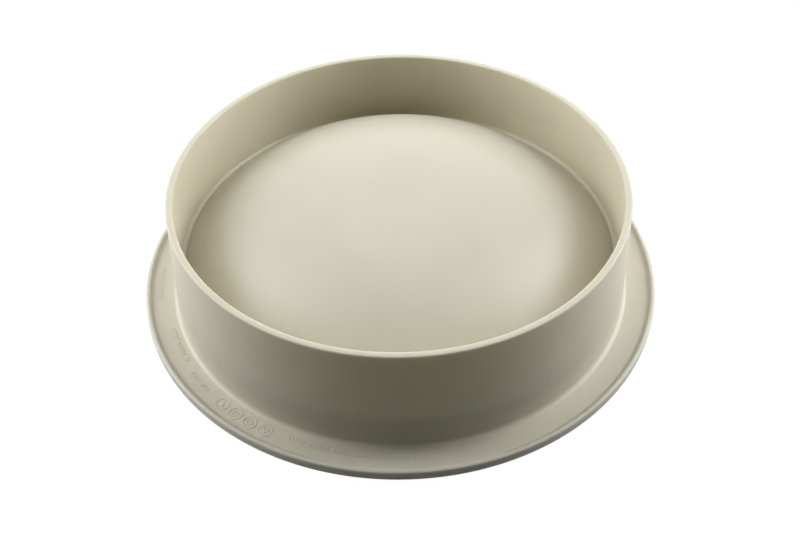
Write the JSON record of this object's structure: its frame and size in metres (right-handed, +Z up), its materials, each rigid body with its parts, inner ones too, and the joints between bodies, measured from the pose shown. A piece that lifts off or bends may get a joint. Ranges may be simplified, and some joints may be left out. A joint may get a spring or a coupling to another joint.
{
  "type": "silicone cake mould",
  "caption": "Round silicone cake mould with a domed cavity, a flat flange with a beaded, ring-stiffened edge, and a foot ring; it lies cavity down.",
  "frame": {"origin": "centre of the flange's flat face, on the surface that the mould lies on", "axes": "+Z up the mould's axis from the flange to the foot ring; X and Y are alike"},
  "size_m": [0.2164, 0.2164, 0.0502],
  "materials": {
    "silicone": "sand-coloured silicone, satin, smooth from a polished tool",
    "steel": "drawn stainless wire, bare"
  },
  "bodies": {
    "root": {"mould_body": "silicone", "rim_ring": "steel"}
  },
  "joints": []
}
